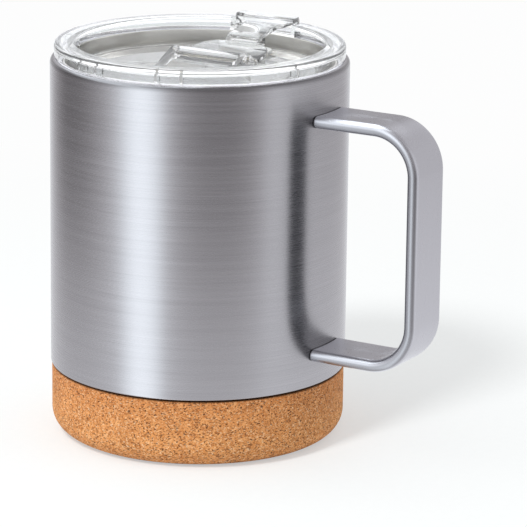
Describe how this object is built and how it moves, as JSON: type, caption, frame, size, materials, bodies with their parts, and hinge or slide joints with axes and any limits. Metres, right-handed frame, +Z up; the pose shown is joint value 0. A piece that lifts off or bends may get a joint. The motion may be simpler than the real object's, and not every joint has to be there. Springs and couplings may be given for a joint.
{
  "type": "insulated travel mug",
  "caption": "Rigid double-wall steel travel mug with a flat strap handle, moulded cork base and clear push-in lid with a flip-up drinking lever.",
  "frame": {"origin": "centre of the flat underside of the cork base, on the mug's axis", "axes": "+Z up along the mug's axis, +X along the handle, +Y towards the drinking notch and lever tip of the lid"},
  "size_m": [0.1169, 0.085, 0.115],
  "materials": {
    "brushed_body": "fine horizontal brushing, satin",
    "satin_handle": "satin, very fine grain along the strap",
    "liner_steel": "satin drawn steel",
    "plain_steel": "mill finish",
    "pin_steel": "polished wire",
    "clear_plastic": "clear polished moulded plastic",
    "silicone": "translucent soft silicone, matt",
    "cork": "moulded agglomerated cork, fine grain, matt",
    "adhesive": "adhesive film",
    "getter_metal": "sintered, dull",
    "solder_glass": "fused glass, glossy"
  },
  "bodies": {
    "mug": {"outer_shell": "brushed_body", "shell_base_plate": "plain_steel", "vacuum_seal_bead": "solder_glass", "inner_liner": "liner_steel", "liner_base_cup": "liner_steel", "getter_pellet": "getter_metal", "getter_clip": "plain_steel", "handle_strap": "satin_handle", "cork_base": "cork", "cork_glue_disc": "adhesive"},
    "lid": {"lid_body": "clear_plastic", "lid_gasket": "silicone", "hinge_pin": "pin_steel"},
    "lever": {"flip_lever": "clear_plastic", "stopper_plug": "silicone"}
  },
  "joints": [
    {"name": "lid_lift", "type": "slide", "parent": "mug", "child": "lid", "axis": [0, 0, 1], "range_m": [0, 0.04]},
    {"name": "lever_flip", "type": "hinge", "parent": "lid", "child": "lever", "pos_m": [0, 0.0055, 0.1086], "axis": [1, 0, 0], "range_deg": [0, 165]}
  ]
}
